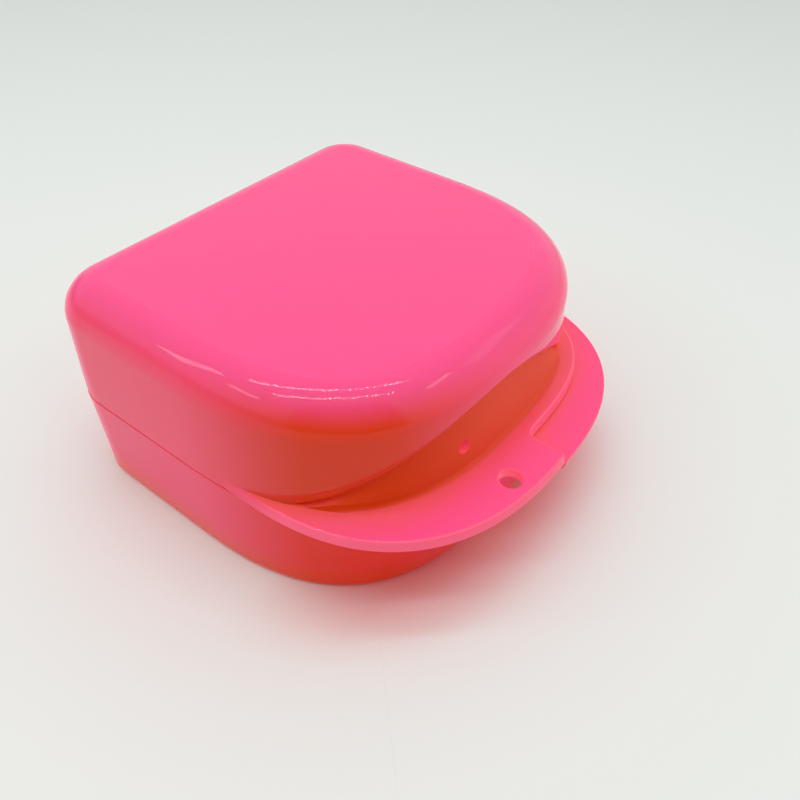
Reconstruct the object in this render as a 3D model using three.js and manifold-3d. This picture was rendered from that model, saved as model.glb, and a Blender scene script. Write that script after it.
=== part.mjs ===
import * as THREE from 'three';
import { mergeVertices } from 'three/addons/utils/BufferGeometryUtils.js';
import Module from 'manifold-3d';

// A hinged case for a denture or a retainer: a tray, a domed lid and the pin that joins them at the back.
// Millimetres, +Z up, front towards -Y. The origin is on the surface that the case stands on,
// under the middle of the body's outline.

// Outline of the body, seen from above: straight sides, round back corners and a bowed front
const bodyWidth = 80;
const bodyDepth = 73.5;
const frontSwell = 41;
const frontSquareShare = 0.747;
const backCornerRadius = 10.4;

// Heights of the seam and the top, and the gap that the closed case shows
const overallHeight = 42.9;
const seamHeight = 20.05;
const seamGap = 0.3;

// Walls, their moulding draft and their rounded edges
const wallThickness = 2;
const lidDraft = 1.07;
const baseDraft = 0.4;
const shoulderRadius = 6.95;
const baseEdgeRadius = 1.5;
const baseInnerRadius = 3;

// Front of the lid: an arched brow, a little left of the middle, over a wall that leans back, with one vent hole
const browDrop = 6.6;
const browCentre = -5.8;
const browHalfWidth = 32.4;
const browRoundShare = 0.77;
const browEdge = 1.4;
const browMidShare = 0.45;
const browProud = 0.5;
const scoopDepth = 2.2;
const fadeShare = 0.5;
const coveSize = 1.2;
const footLimitShares = [0.3, 0.6];
const ventRadius = 1.25;
const ventOffset = 13;
const ventRise = 6.6;

// Back of the lid: its lower edge is drawn in, which leaves the hinge barrel its room
const reliefDepth = 1.8;
const reliefHeight = 3.2;
const reliefInnerShare = 0.5;
const bandHeight = 1;

// Finger tabs, one half on the lid and one on the tray, each carried on by a narrow rim
const flangeThickness = 2;
const flangeEdge = 0.35;
const flangeSlope = 0.45;
const flangeStart = 9.35;
const tabSideInset = 0.33;
const tabProjection = 10.94;
const tabSquareShare = 0.786;
const rimSideInset = 5;
const rimProjection = 3.45;
const rimSquareShare = 0.655;
const tabSplit = 0.5;
const tabCornerRadius = 1.2;
const rimCornerRadius = 1.6;
const lanyardHoleRadius = 2;
const lanyardHoleOffset = 10.4;
const lanyardHoleEdge = 4.8;
const lanyardHoleEasing = 0.3;

// Lap joint: a collar on the tray stands inside a thinned skirt on the lid, with a snap bead in front
const skirtThickness = 0.9;
const fitGap = 0.3;
const collarHeight = 1.7;
const collarStop = 4;
const beadWidth = 24;
const beadHeight = 0.6;
const beadProud = 0.2;
const beadCrestShare = 0.33;

// Hinge: three knuckles on one pin, carried by gussets on the two back walls
const hingeSetback = 1.4;
const barrelRadius = 2;
const barrelLength = 44;
const lidKnuckleLength = 26;
const gussetLength = 4.2;
const pinRadius = 0.9;
const pinClearance = 0.25;
const pinRecess = 0.4;
const pinChamfer = 0.25;

// How finely the curves are divided, and how far a cutting body runs past what it cuts
const frontSteps = 56;
const sideSteps = 3;
const cornerSteps = 8;
const backSteps = 3;
const wallSteps = 3;
const coveSteps = 2;
const shoulderSteps = 6;
const edgeSteps = 3;
const flangeSteps = 60;
const roundSteps = 24;
const overrun = 1;

const lidBottom = seamHeight + seamGap / 2;
const baseTop = seamHeight - seamGap / 2;
const backY = bodyDepth / 2;
const frontCentreY = frontSwell - backY;
const tabHalfWidth = bodyWidth / 2 - tabSideInset;
const tabReach = backY + tabProjection - flangeStart;
const rimHalfWidth = bodyWidth / 2 - rimSideInset;
const rimReach = backY + rimProjection - flangeStart;
const hingeY = backY + hingeSetback;
const hingeZ = overallHeight / 2;
const pocketRadius = barrelRadius + fitGap;
const shoulderStart = overallHeight - shoulderRadius;
const browRise = overallHeight - browDrop - lidBottom;

const wasm = await Module();
wasm.setup();

function solidOf(geometry) {
  const bare = new THREE.BufferGeometry();
  bare.setAttribute('position', geometry.getAttribute('position'));
  bare.setIndex(geometry.getIndex());
  const merged = mergeVertices(bare);
  return new wasm.Manifold(new wasm.Mesh({
    numProp: 3,
    vertProperties: new Float32Array(merged.getAttribute('position').array),
    triVerts: new Uint32Array(merged.getIndex().array),
  }));
}

function geometryOf(solid) {
  const mesh = solid.getMesh();
  const geometry = new THREE.BufferGeometry();
  geometry.setAttribute('position', new THREE.BufferAttribute(mesh.vertProperties, 3));
  geometry.setIndex(new THREE.BufferAttribute(mesh.triVerts, 1));
  geometry.computeVertexNormals();
  return geometry;
}

// Rings of equal length, lowest first and each anticlockwise from above, skinned and capped
function loft(rings) {
  const count = rings[0].length;
  const points = rings.flat();
  const index = [];
  for (let row = 0; row + 1 < rings.length; row += 1) {
    for (let i = 0; i < count; i += 1) {
      const a = row * count + i;
      const b = row * count + (i + 1) % count;
      index.push(a, b, b + count, a, b + count, a + count);
    }
  }
  const lastRing = (rings.length - 1) * count;
  for (const [a, b, c] of capOf(rings[0])) index.push(a, c, b);
  for (const [a, b, c] of capOf(rings[rings.length - 1])) {
    index.push(lastRing + a, lastRing + b, lastRing + c);
  }
  const geometry = new THREE.BufferGeometry().setFromPoints(points);
  geometry.setIndex(index);
  return solidOf(geometry);
}

function capOf(ring) {
  return THREE.ShapeUtils.triangulateShape(ring.map((point) => new THREE.Vector2(point.x, point.y)), []);
}

function boxSolid(low, high) {
  const size = new THREE.Vector3().subVectors(high, low);
  const middle = new THREE.Vector3().addVectors(low, high).multiplyScalar(0.5);
  return solidOf(new THREE.BoxGeometry(size.x, size.y, size.z).translate(middle.x, middle.y, middle.z));
}

// The outline as columns: a place in plan, its outward direction, and whether it is on the bowed front
function outlineColumns() {
  const columns = [];
  const half = bodyWidth / 2;
  const cornerY = backY - backCornerRadius;
  const cornerX = half - backCornerRadius;
  const add = (x, y, angle, front) => {
    columns.push({ x, y, nx: Math.cos(angle), ny: Math.sin(angle), front });
  };
  for (let i = 0; i < sideSteps; i += 1) {
    add(half, THREE.MathUtils.lerp(frontCentreY, cornerY, i / sideSteps), 0, false);
  }
  for (let i = 0; i < cornerSteps; i += 1) {
    const angle = Math.PI / 2 * i / cornerSteps;
    add(cornerX + backCornerRadius * Math.cos(angle), cornerY + backCornerRadius * Math.sin(angle), angle, false);
  }
  for (let i = 0; i < backSteps; i += 1) {
    add(THREE.MathUtils.lerp(cornerX, -cornerX, i / backSteps), backY, Math.PI / 2, false);
  }
  for (let i = 0; i < cornerSteps; i += 1) {
    const angle = Math.PI / 2 * (1 + i / cornerSteps);
    add(-cornerX + backCornerRadius * Math.cos(angle), cornerY + backCornerRadius * Math.sin(angle), angle, false);
  }
  for (let i = 0; i < sideSteps; i += 1) {
    add(-half, THREE.MathUtils.lerp(cornerY, frontCentreY, i / sideSteps), Math.PI, false);
  }
  for (let i = 0; i < frontSteps; i += 1) {
    const point = bowPoint(half, frontSwell, frontSquareShare, Math.PI * (1 + i / frontSteps));
    add(point.x, frontCentreY + point.y, point.angle, true);
  }
  return columns;
}

// A point on a superellipse: a share of 1 gives an ellipse, a smaller one squarer shoulders
function bowPoint(halfWidth, reach, squareShare, turn) {
  const c = Math.cos(turn);
  const s = Math.sin(turn);
  const x = halfWidth * Math.sign(c) * Math.abs(c) ** squareShare;
  const y = reach * Math.sign(s) * Math.abs(s) ** squareShare;
  const slopeX = Math.sign(c) * Math.abs(c) ** (2 - squareShare) / halfWidth;
  const slopeY = Math.sign(s) * Math.abs(s) ** (2 - squareShare) / reach;
  return { x, y, angle: Math.atan2(slopeY, slopeX) };
}

const columns = outlineColumns();

function ringAt(place) {
  return columns.map((column, number) => {
    const { z, inset } = place(column, number);
    return new THREE.Vector3(column.x - column.nx * inset, column.y - column.ny * inset, z);
  });
}

// A body between two heights that follows the outline at a fixed inset
function prism(inset, low, high) {
  return loft([ringAt(() => ({ z: low, inset })), ringAt(() => ({ z: high, inset }))]);
}

// How strongly a form on the front shows at a column: 1 at its centre, 0 from its ends on
function frontShape(column, centre, halfWidth, roundShare) {
  const offset = Math.abs(column.x - centre) / halfWidth;
  if (!column.front || offset >= 1) return 0;
  return Math.cos(Math.PI / 2 * offset) ** roundShare;
}

// How far round the back a column lies: 0 on the sides, 1 along the back wall
function backShape(column) {
  return THREE.MathUtils.smoothstep(column.ny, 0, 1);
}

// The lid's wall without its recesses, for the outer skin or one lying deeper by a depth.
// Its front stands a little proud at the height of the brow.
function lidWallInset(column, z, depth) {
  const radius = shoulderRadius - depth;
  const rise = THREE.MathUtils.clamp(z - shoulderStart, 0, radius);
  const lean = lidDraft * (z - lidBottom) / (overallHeight - lidBottom);
  const proud = THREE.MathUtils.smoothstep(z, lidBottom, shoulderStart)
    - THREE.MathUtils.smoothstep(z, shoulderStart, overallHeight);
  const swell = browProud * frontShape(column, 0, tabHalfWidth, fadeShare) * proud;
  return depth + lean + radius - Math.sqrt(radius * radius - rise * rise) - swell;
}

// One column of the lid's skin from its lower edge to the flat top
function lidColumn(column, depth) {
  const brow = frontShape(column, browCentre, browHalfWidth, browRoundShare);
  const scoop = scoopDepth * frontShape(column, browCentre, browHalfWidth, fadeShare);
  const cove = depth > 0 ? 0 : coveSize * frontShape(column, 0, tabHalfWidth, fadeShare);
  const back = backShape(column);
  const band = Math.max(bandHeight, browRise * brow, reliefHeight * back);
  const relief = reliefDepth * back * (depth > 0 ? reliefInnerShare : 1);
  const rows = [{ rise: 0, out: 0, lean: 0 }];
  for (let i = 0; i <= coveSteps; i += 1) {
    const angle = Math.PI / 2 * i / coveSteps;
    const limit = band * THREE.MathUtils.lerp(...footLimitShares, i / coveSteps);
    const rise = Math.min(flangeThickness + coveSize * (1 - Math.cos(angle)), limit);
    rows.push({ rise, out: cove * (1 - Math.sin(angle)), lean: 0 });
  }
  const foot = rows[rows.length - 1].rise;
  const edge = Math.min(browEdge, band * footLimitShares[0]);
  for (let i = 1; i <= wallSteps; i += 1) {
    const lean = i / wallSteps;
    rows.push({ rise: THREE.MathUtils.lerp(foot, band - edge, lean), out: 0, lean });
  }
  rows.push({ rise: band - edge * browMidShare, out: 0, lean: browMidShare });
  rows.push({ rise: band, out: 0, lean: 0 });
  const skin = rows.map(({ rise, out, lean }) => ({
    z: lidBottom + rise,
    inset: lidWallInset(column, lidBottom + rise, depth) + scoop * lean - out
      + relief * Math.max(0, 1 - rise / band),
  }));
  const shoulder = Math.max(shoulderStart, lidBottom + band + edge);
  const radius = shoulderRadius - depth;
  const firstAngle = Math.asin((shoulder - shoulderStart) / radius);
  for (let i = 0; i <= shoulderSteps; i += 1) {
    const angle = THREE.MathUtils.lerp(firstAngle, Math.PI / 2, i / shoulderSteps);
    const z = shoulderStart + radius * Math.sin(angle);
    skin.push({ z, inset: lidWallInset(column, z, depth) });
  }
  return skin;
}

function lidSkin(depth) {
  const skins = columns.map((column) => lidColumn(column, depth));
  const rings = skins[0].map((row, level) => ringAt((column, number) => skins[number][level]));
  if (depth > 0) {
    rings.unshift(ringAt((column, number) => {
      const lowest = skins[number][0];
      return { z: lowest.z - overrun, inset: lowest.inset };
    }));
  }
  return loft(rings);
}

// The tray's skin: a rounded lower edge, then a wall with draft up to a given height
function baseSkin(depth, edgeRadius, top) {
  const leanAt = (z) => baseDraft * (1 - z / baseTop);
  const rings = [];
  for (let i = 0; i <= edgeSteps; i += 1) {
    const angle = Math.PI / 2 * i / edgeSteps;
    const z = depth + edgeRadius * (1 - Math.cos(angle));
    const inset = depth + leanAt(z) + edgeRadius * (1 - Math.sin(angle));
    rings.push(ringAt(() => ({ z, inset })));
  }
  rings.push(ringAt(() => ({ z: top, inset: depth + leanAt(Math.min(top, baseTop)) })));
  return loft(rings);
}

// The outline of a finger tab on the left and a narrow rim on the right, drawn in by an inset
function flangeOutline(inset) {
  const points = [];
  const bow = (halfWidth, reach, squareShare, keep) => {
    for (let i = 0; i <= flangeSteps; i += 1) {
      const point = bowPoint(halfWidth, reach, squareShare, Math.PI * (1 + i / flangeSteps));
      const x = point.x - inset * Math.cos(point.angle);
      const y = -flangeStart + point.y - inset * Math.sin(point.angle);
      if (keep(point.x)) points.push(new THREE.Vector2(x, y));
    }
  };
  const corner = (x, y, radius, from, to) => {
    for (let i = 0; i <= edgeSteps; i += 1) {
      const angle = THREE.MathUtils.lerp(from, to, i / edgeSteps);
      points.push(new THREE.Vector2(x + radius * Math.cos(angle), y + radius * Math.sin(angle)));
    }
  };
  const tabEnd = tabSplit - tabCornerRadius;
  const rimEnd = tabSplit + rimCornerRadius;
  bow(tabHalfWidth, tabReach, tabSquareShare, (x) => x < tabEnd);
  corner(tabEnd, tabCornerRadius - flangeStart - tabReach, tabCornerRadius - inset, -Math.PI / 2, 0);
  corner(rimEnd, -rimCornerRadius - flangeStart - rimReach, rimCornerRadius + inset, Math.PI, Math.PI / 2);
  bow(rimHalfWidth, rimReach, rimSquareShare, (x) => x > rimEnd);
  points.push(new THREE.Vector2(rimHalfWidth - inset, 0), new THREE.Vector2(inset - tabHalfWidth, 0));
  return points;
}

// A tab and a rim as one plate. It starts at the seam and goes up for 1 or down for -1, and its edge leans in
// on the way. The side is -1 for a tab on the left and 1 for one on the right.
function flangePlate(side, seam, up) {
  const rows = [];
  const row = (rise, easing) => rows.push({ rise, inset: easing + flangeSlope * rise / flangeThickness });
  for (let i = 0; i <= edgeSteps; i += 1) {
    const angle = Math.PI / 2 * i / edgeSteps;
    row(flangeEdge * (1 - Math.cos(angle)), flangeEdge * (1 - Math.sin(angle)));
  }
  for (let i = 0; i <= edgeSteps; i += 1) {
    const angle = Math.PI / 2 * i / edgeSteps;
    row(flangeThickness - flangeEdge * (1 - Math.sin(angle)), flangeEdge * (1 - Math.cos(angle)));
  }
  const rings = rows.map(({ rise, inset }) => {
    const ring = flangeOutline(inset).map((point) => new THREE.Vector3(-side * point.x, point.y, seam + up * rise));
    return side > 0 ? ring.reverse() : ring;
  });
  return loft(up > 0 ? rings : rings.reverse());
}

// A cutter for an upright hole between two heights, with both ends opened out a little
function easedHole(x, y, radius, low, high, easing) {
  const wideRadius = radius + easing + overrun;
  const flare = easing + overrun;
  const bore = new THREE.CylinderGeometry(radius, radius, high - low, roundSteps);
  const upper = new THREE.CylinderGeometry(wideRadius, radius, flare, roundSteps);
  const lower = new THREE.CylinderGeometry(radius, wideRadius, flare, roundSteps);
  bore.translate(0, (low + high) / 2, 0);
  upper.translate(0, high - easing + flare / 2, 0);
  lower.translate(0, low + easing - flare / 2, 0);
  const parts = [bore, upper, lower].map((part) => solidOf(part.rotateX(Math.PI / 2).translate(x, y, 0)));
  return parts[0].add(parts[1]).add(parts[2]);
}

function cylinderAlongX(radius, from, to) {
  const geometry = new THREE.CylinderGeometry(radius, radius, to - from, roundSteps);
  return solidOf(geometry.rotateZ(Math.PI / 2).translate((from + to) / 2, hingeY, hingeZ));
}

// The angle on the barrel where a line from a point touches it, on one side or the other
function tangentAngle(point, side) {
  return Math.atan2(point.y, point.x) + side * Math.acos(barrelRadius / point.length());
}

// A knuckle with its gusset, drawn across the hinge: one point near the seam and one far along the wall
function knuckle(near, far, from, to) {
  const turnSide = Math.sign(near.y - far.y) || 1;
  const first = tangentAngle(far, turnSide);
  const last = tangentAngle(near, -turnSide);
  const shape = new THREE.Shape();
  shape.moveTo(near.x, near.y);
  shape.lineTo(far.x, far.y);
  shape.absarc(0, 0, barrelRadius, first, last, turnSide < 0);
  shape.closePath();
  const bar = new THREE.ExtrudeGeometry(shape, { depth: to - from, bevelEnabled: false, curveSegments: roundSteps });
  // The drawing's axes are the case's Y and Z, and its depth runs along X
  const across = new THREE.Matrix4().makeBasis(
    new THREE.Vector3(0, 1, 0),
    new THREE.Vector3(0, 0, 1),
    new THREE.Vector3(1, 0, 0),
  );
  bar.applyMatrix4(across);
  return solidOf(bar.translate(from, hingeY, hingeZ));
}

const wallMiddle = -hingeSetback - wallThickness / 2;
const lidKnuckleEnd = lidKnuckleLength / 2;
const baseKnuckleStart = lidKnuckleEnd + fitGap;
const barrelEnd = barrelLength / 2;
const boreRadius = pinRadius + pinClearance;
const wide = new THREE.Vector3(bodyWidth, bodyDepth, overallHeight);

// Everything ahead of the place where the collar stops, short of the back corners
function aheadOf(y) {
  return boxSolid(wide.clone().negate(), new THREE.Vector3(wide.x, y, wide.z));
}

// The bead's body for the tray, or with a clearance the groove for the lid
function snapBead(clearance) {
  const rise = collarHeight / 2;
  const flank = beadHeight / 2 + clearance;
  const flat = flank * beadCrestShare;
  const face = skirtThickness + fitGap;
  const root = (face + wallThickness) / 2;
  const crest = face - beadProud - clearance;
  const middle = lidBottom + rise - seamGap;
  const rings = [
    { z: middle - flank, inset: face },
    { z: middle - flat, inset: crest },
    { z: middle + flat, inset: crest },
    { z: middle + flank, inset: face },
  ];
  const bead = loft([
    ringAt(() => ({ z: middle - flank, inset: root })),
    ...rings.map((row) => ringAt(() => row)),
    ringAt(() => ({ z: middle + flank, inset: root })),
  ]);
  const halfWidth = beadWidth / 2 + clearance;
  return bead.intersect(boxSolid(
    new THREE.Vector3(-halfWidth, -bodyDepth, 0),
    new THREE.Vector3(halfWidth, 0, overallHeight),
  ));
}

function makeLid() {
  const holeY = lanyardHoleEdge - flangeStart - tabReach;
  const tabTop = lidBottom + flangeThickness;
  let lid = lidSkin(0).add(flangePlate(-1, lidBottom, 1));
  lid = lid.subtract(
    easedHole(-lanyardHoleOffset, holeY, lanyardHoleRadius, lidBottom, tabTop, lanyardHoleEasing),
  );
  lid = lid.subtract(lidSkin(wallThickness));
  const skirtCut = prism(skirtThickness, lidBottom - overrun, lidBottom + collarHeight);
  const collarEnd = backY - backCornerRadius - collarStop;
  lid = lid.subtract(skirtCut.intersect(aheadOf(collarEnd + fitGap)));
  lid = lid.subtract(snapBead(fitGap / 2));
  const vent = new THREE.CylinderGeometry(ventRadius, ventRadius, frontSwell / 2, roundSteps);
  lid = lid.subtract(solidOf(vent.translate(-ventOffset, -backY, lidBottom + ventRise)));
  lid = lid.subtract(cylinderAlongX(pocketRadius, lidKnuckleEnd, barrelEnd + fitGap));
  lid = lid.subtract(cylinderAlongX(pocketRadius, -barrelEnd - fitGap, -lidKnuckleEnd));
  const near = new THREE.Vector2(-hingeSetback - reliefDepth, lidBottom + bandHeight / 2 - hingeZ);
  const far = new THREE.Vector2(wallMiddle, lidBottom + reliefHeight + gussetLength - hingeZ);
  lid = lid.add(knuckle(near, far, -lidKnuckleEnd, lidKnuckleEnd));
  return lid.subtract(cylinderAlongX(boreRadius, -lidKnuckleEnd - overrun, lidKnuckleEnd + overrun));
}

function makeBase() {
  const collarTop = baseTop + collarHeight;
  const collarEnd = backY - backCornerRadius - collarStop;
  const collar = prism(skirtThickness + fitGap, baseTop - wallThickness, collarTop);
  let base = baseSkin(0, baseEdgeRadius, baseTop).add(collar.intersect(aheadOf(collarEnd)));
  base = base.add(flangePlate(1, baseTop, -1));
  base = base.subtract(baseSkin(wallThickness, baseInnerRadius, collarTop + overrun));
  base = base.add(snapBead(0).subtract(prism(wallThickness, 0, overallHeight)));
  base = base.subtract(cylinderAlongX(pocketRadius, -baseKnuckleStart, baseKnuckleStart));
  const near = new THREE.Vector2(wallMiddle, baseTop - fitGap - hingeZ);
  const far = new THREE.Vector2(wallMiddle, baseTop - gussetLength - hingeZ);
  base = base.add(knuckle(near, far, baseKnuckleStart, barrelEnd));
  base = base.add(knuckle(near, far, -barrelEnd, -baseKnuckleStart));
  return base.subtract(cylinderAlongX(boreRadius, -barrelEnd - overrun, barrelEnd + overrun));
}

function makePin() {
  const end = barrelEnd - pinRecess;
  const profile = [
    new THREE.Vector2(0, -end),
    new THREE.Vector2(pinRadius - pinChamfer, -end),
    new THREE.Vector2(pinRadius, -end + pinChamfer),
    new THREE.Vector2(pinRadius, end - pinChamfer),
    new THREE.Vector2(pinRadius - pinChamfer, end),
    new THREE.Vector2(0, end),
  ];
  return new THREE.LatheGeometry(profile, roundSteps);
}

function plastic(color) {
  return new THREE.MeshStandardMaterial({ color, roughness: 0.22, metalness: 0 });
}

const group = new THREE.Group();

const base = new THREE.Mesh(geometryOf(makeBase()), plastic(0xf2487c));
base.name = 'base';
group.add(base);

// The lid hangs on a group at the hinge, so that turning the group about X opens it
const lidPivot = new THREE.Group();
lidPivot.position.set(0, hingeY, hingeZ);
const lid = new THREE.Mesh(geometryOf(makeLid()).translate(0, -hingeY, -hingeZ), plastic(0xff5f98));
lid.name = 'lid';
lidPivot.add(lid);
group.add(lidPivot);

const pin = new THREE.Mesh(makePin(), plastic(0xf2487c));
pin.name = 'hinge_pin';
pin.position.set(0, hingeY, hingeZ);
pin.rotation.z = Math.PI / 2;
group.add(pin);

export default group;
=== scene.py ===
import math

import bpy
import bmesh
import numpy as np
from mathutils import Matrix, Vector


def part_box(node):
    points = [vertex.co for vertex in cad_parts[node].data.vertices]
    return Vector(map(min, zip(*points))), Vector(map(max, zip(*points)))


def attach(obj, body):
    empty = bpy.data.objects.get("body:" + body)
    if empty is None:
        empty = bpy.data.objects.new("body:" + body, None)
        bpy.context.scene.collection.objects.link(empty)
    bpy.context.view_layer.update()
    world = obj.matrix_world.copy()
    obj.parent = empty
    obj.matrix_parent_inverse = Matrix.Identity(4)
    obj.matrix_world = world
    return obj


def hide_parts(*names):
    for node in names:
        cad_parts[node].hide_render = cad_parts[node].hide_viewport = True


# A case for a denture: a tray, a domed lid and the pin of their hinge, in translucent pink plastic.
# The shapes are built in millimetres, +Z up and front towards -Y, and each finished piece is in metres.

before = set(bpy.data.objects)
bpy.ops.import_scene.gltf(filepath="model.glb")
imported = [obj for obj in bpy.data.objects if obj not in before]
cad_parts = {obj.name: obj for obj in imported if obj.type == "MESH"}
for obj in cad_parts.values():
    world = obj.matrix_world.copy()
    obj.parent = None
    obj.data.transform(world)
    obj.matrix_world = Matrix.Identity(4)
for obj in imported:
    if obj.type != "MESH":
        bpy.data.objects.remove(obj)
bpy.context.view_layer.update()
_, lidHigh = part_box("lid")
baseLow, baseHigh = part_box("base")
pinLow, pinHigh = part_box("hinge_pin")
mm = 0.001
overrun = 1    # how far a cutting shape runs past what it cuts
print("frame loaded:", sorted(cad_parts))

bodySizes = {
    "width": (baseHigh.x - baseLow.x) / mm,
    "depth": 73.5,
    "height": lidHigh.z / mm,
    "frontSwell": 41,
    "frontSquareShare": 0.747,
    "backCornerRadius": 10.4,
    "seamHeight": 20.05,
    "seamGap": 0.3,
    "wall": 2,
    "columnSpacing": 0.8,
    "finePoints": 400,
}
lidBottom = bodySizes["seamHeight"] + bodySizes["seamGap"] / 2
baseTop = bodySizes["seamHeight"] - bodySizes["seamGap"] / 2
backY = bodySizes["depth"] / 2
frontCentreY = bodySizes["frontSwell"] - backY
hingeY = (pinLow.y + pinHigh.y) / 2 / mm
hingeZ = (pinLow.z + pinHigh.z) / 2 / mm


# Shapes as closed meshes

def meshObject(name, points, faces):
    mesh = bpy.data.meshes.new(name)
    mesh.from_pydata([tuple(point) for point in points], [], faces)
    mesh.validate()
    piece = bpy.data.objects.new(name, mesh)
    bpy.context.scene.collection.objects.link(piece)
    return piece


def loft(name, rings):
    # rings of equal length, lowest first and each anticlockwise from above
    count = len(rings[0])
    faces = []
    for row in range(len(rings) - 1):
        for i in range(count):
            a = row * count + i
            b = row * count + (i + 1) % count
            faces.append((a, b, b + count, a + count))
    last = (len(rings) - 1) * count
    faces.append(tuple(reversed(range(count))))
    faces.append(tuple(range(last, last + count)))
    return meshObject(name, np.concatenate(rings), faces)


def boxShape(name, low, high):
    corners = [(low[0], low[1]), (high[0], low[1]), (high[0], high[1]), (low[0], high[1])]
    return loft(name, [np.array([(x, y, z) for x, y in corners], float) for z in (low[2], high[2])])


def turned(name, profile, place, steps=64):
    # a profile of (radius, height) turned about an upright axis, then put in place by a matrix
    angles = [2 * math.pi * i / steps for i in range(steps)]
    rings = [np.array([(r * math.cos(a), r * math.sin(a), h) for a in angles]) for r, h in profile]
    piece = loft(name, rings)
    piece.data.transform(place)
    return piece


def alongX(y, z):
    return Matrix.Translation((0, y, z)) @ Matrix.Rotation(math.pi / 2, 4, "Y")


def shaped(piece, steps):
    # joins and cuts applied in order; each step is "UNION", "DIFFERENCE" or "INTERSECT" with its tool
    for operation, tool in steps:
        modifier = piece.modifiers.new(operation.lower(), "BOOLEAN")
        modifier.operation = operation
        modifier.solver = "MANIFOLD"
        modifier.object = tool
    bpy.context.view_layer.update()
    depsgraph = bpy.context.evaluated_depsgraph_get()
    mesh = bpy.data.meshes.new_from_object(piece.evaluated_get(depsgraph))
    piece.modifiers.clear()
    piece.data = mesh
    for _, tool in steps:
        bpy.data.objects.remove(tool)
    return piece


meshFinish = {
    "mergeDistance": 0.002,
    "sharpAngle": 32,
    "flatFaceWeight": 80,
}


def finished(piece):
    # metres, clean edges and soft normals that keep the flats flat
    piece.data.transform(Matrix.Scale(mm, 4))
    apart = meshFinish["mergeDistance"] * mm
    sharpAngle = math.radians(meshFinish["sharpAngle"])
    work = bmesh.new()
    work.from_mesh(piece.data)
    bmesh.ops.remove_doubles(work, verts=work.verts, dist=apart)
    bmesh.ops.dissolve_degenerate(work, edges=work.edges, dist=apart)
    for face in work.faces:
        face.smooth = True
    for edge in work.edges:
        edge.smooth = len(edge.link_faces) == 2 and edge.calc_face_angle(0) < sharpAngle
    work.to_mesh(piece.data)
    work.free()
    soften = piece.modifiers.new("flat faces stay flat", "WEIGHTED_NORMAL")
    soften.keep_sharp = True
    soften.weight = meshFinish["flatFaceWeight"]
    return piece


# The outline seen from above, in even steps: place, outward direction and if it is on the bowed front

def smoothstep(value, low, high):
    t = np.clip((value - low) / (high - low), 0, 1)
    return t * t * (3 - 2 * t)


def bow(halfWidth, reach, squareShare, turns):
    c, s = np.cos(turns), np.sin(turns)
    x = halfWidth * np.sign(c) * np.abs(c) ** squareShare
    y = reach * np.sign(s) * np.abs(s) ** squareShare
    angle = np.arctan2(
        np.sign(s) * np.abs(s) ** (2 - squareShare) / reach,
        np.sign(c) * np.abs(c) ** (2 - squareShare) / halfWidth,
    )
    return x, y, angle


def outline():
    half = bodySizes["width"] / 2
    radius = bodySizes["backCornerRadius"]
    cornerX, cornerY = half - radius, backY - radius
    fine = bodySizes["finePoints"]
    share = np.arange(fine) / fine
    quarter = share * math.pi / 2
    cornerRound = (radius * np.cos(quarter), radius * np.sin(quarter))
    x, y, angle = bow(half, bodySizes["frontSwell"], bodySizes["frontSquareShare"], math.pi * (1 + share))
    stretches = [
        (np.full(fine, half), frontCentreY + share * (cornerY - frontCentreY), np.zeros(fine), 0),
        (cornerX + cornerRound[0], cornerY + cornerRound[1], quarter, 0),
        (cornerX * (1 - 2 * share), np.full(fine, backY), np.full(fine, math.pi / 2), 0),
        (-cornerX - cornerRound[1], cornerY + cornerRound[0], quarter + math.pi / 2, 0),
        (np.full(fine, -half), cornerY + share * (frontCentreY - cornerY), np.full(fine, math.pi), 0),
        (x, frontCentreY + y, np.where(angle < 0, angle + 2 * math.pi, angle), 1),
    ]
    dense = np.concatenate([
        np.stack([sx, sy, sa, np.full(fine, front)], 1) for sx, sy, sa, front in stretches
    ])
    steps = np.linalg.norm(np.diff(dense[:, :2], axis=0, append=dense[:1, :2]), axis=1)
    along = np.concatenate([[0], np.cumsum(steps)])
    closed = np.concatenate([dense, dense[:1] + [0, 0, 2 * math.pi, 0]])
    places = np.linspace(0, along[-1], round(along[-1] / bodySizes["columnSpacing"]), endpoint=False)
    even = np.stack([np.interp(places, along, closed[:, i]) for i in range(4)], 1)
    return {
        "x": even[:, 0],
        "y": even[:, 1],
        "nx": np.cos(even[:, 2]),
        "ny": np.sin(even[:, 2]),
        "front": even[:, 3] > 0.5,
    }


columns = outline()


def ringAt(inset, z):
    x = columns["x"] - columns["nx"] * inset
    y = columns["y"] - columns["ny"] * inset
    return np.stack([x, y, np.broadcast_to(z, x.shape)], 1)


def prism(name, inset, low, high):
    return loft(name, [ringAt(inset, low), ringAt(inset, high)])


def frontShape(centre, halfWidth, roundShare):
    # how strongly a form on the front shows: 1 at its centre, 0 from its ends on
    offset = np.abs(columns["x"] - centre) / halfWidth
    inside = columns["front"] & (offset < 1)
    return np.where(inside, np.cos(math.pi / 2 * np.minimum(offset, 1)) ** roundShare, 0)


print("outline:", len(columns["x"]), "columns")

# Lid

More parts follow.
